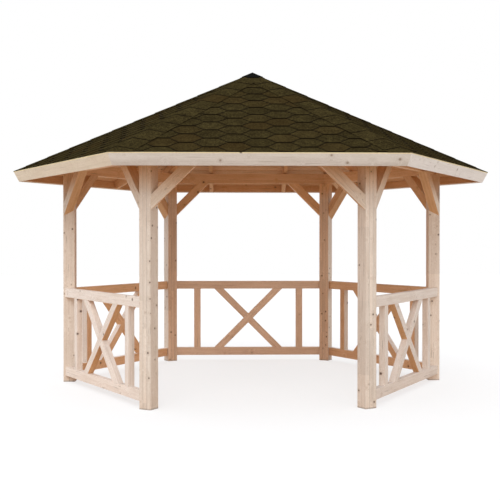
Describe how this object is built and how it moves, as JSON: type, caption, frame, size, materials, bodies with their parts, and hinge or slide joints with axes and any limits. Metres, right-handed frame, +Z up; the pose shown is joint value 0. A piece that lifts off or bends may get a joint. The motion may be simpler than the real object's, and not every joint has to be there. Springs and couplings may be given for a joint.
{
  "type": "hexagonal garden gazebo",
  "caption": "Open timber garden gazebo with a hexagonal shingled hip roof, knee-braced posts and railings with crossed diagonals around all bays but the entrance.",
  "frame": {"origin": "on the ground, at the centre of the six posts", "axes": "+Z up, +X to the right across two opposite corners, -Y out through the entrance bay"},
  "size_m": [5.0228, 4.3498, 3.257],
  "materials": {
    "post_timber": "planed, glued spruce, untreated",
    "frame_timber": "planed spruce, untreated",
    "brace_timber": "planed spruce, untreated",
    "railing_timber": "planed spruce, untreated",
    "fascia_timber": "planed spruce board, untreated",
    "roof_boards": "planed spruce boards, untreated",
    "bitumen_shingles": "mineral-coated bitumen shingle, dark brown",
    "apex_cap": "matt black bitumen felt"
  },
  "bodies": {
    "root": {"post_front_right": "post_timber", "post_right": "post_timber", "post_back_right": "post_timber", "post_back_left": "post_timber", "post_left": "post_timber", "post_front_left": "post_timber", "beam_front": "frame_timber", "knee_braces_front": "brace_timber", "fascia_front": "fascia_timber", "roof_boards_front": "roof_boards", "shingles_front": "bitumen_shingles", "beam_front_right": "frame_timber", "knee_braces_front_right": "brace_timber", "railing_front_right": "railing_timber", "fascia_front_right": "fascia_timber", "roof_boards_front_right": "roof_boards", "shingles_front_right": "bitumen_shingles", "beam_back_right": "frame_timber", "knee_braces_back_right": "brace_timber", "railing_back_right": "railing_timber", "fascia_back_right": "fascia_timber", "roof_boards_back_right": "roof_boards", "shingles_back_right": "bitumen_shingles", "beam_back": "frame_timber", "knee_braces_back": "brace_timber", "railing_back": "railing_timber", "fascia_back": "fascia_timber", "roof_boards_back": "roof_boards", "shingles_back": "bitumen_shingles", "beam_back_left": "frame_timber", "knee_braces_back_left": "brace_timber", "railing_back_left": "railing_timber", "fascia_back_left": "fascia_timber", "roof_boards_back_left": "roof_boards", "shingles_back_left": "bitumen_shingles", "beam_front_left": "frame_timber", "knee_braces_front_left": "brace_timber", "railing_front_left": "railing_timber", "fascia_front_left": "fascia_timber", "roof_boards_front_left": "roof_boards", "shingles_front_left": "bitumen_shingles", "jack_rafters": "frame_timber", "hip_rafters": "frame_timber", "king_block": "frame_timber", "hip_caps": "bitumen_shingles", "apex_cap": "apex_cap"}
  },
  "joints": []
}
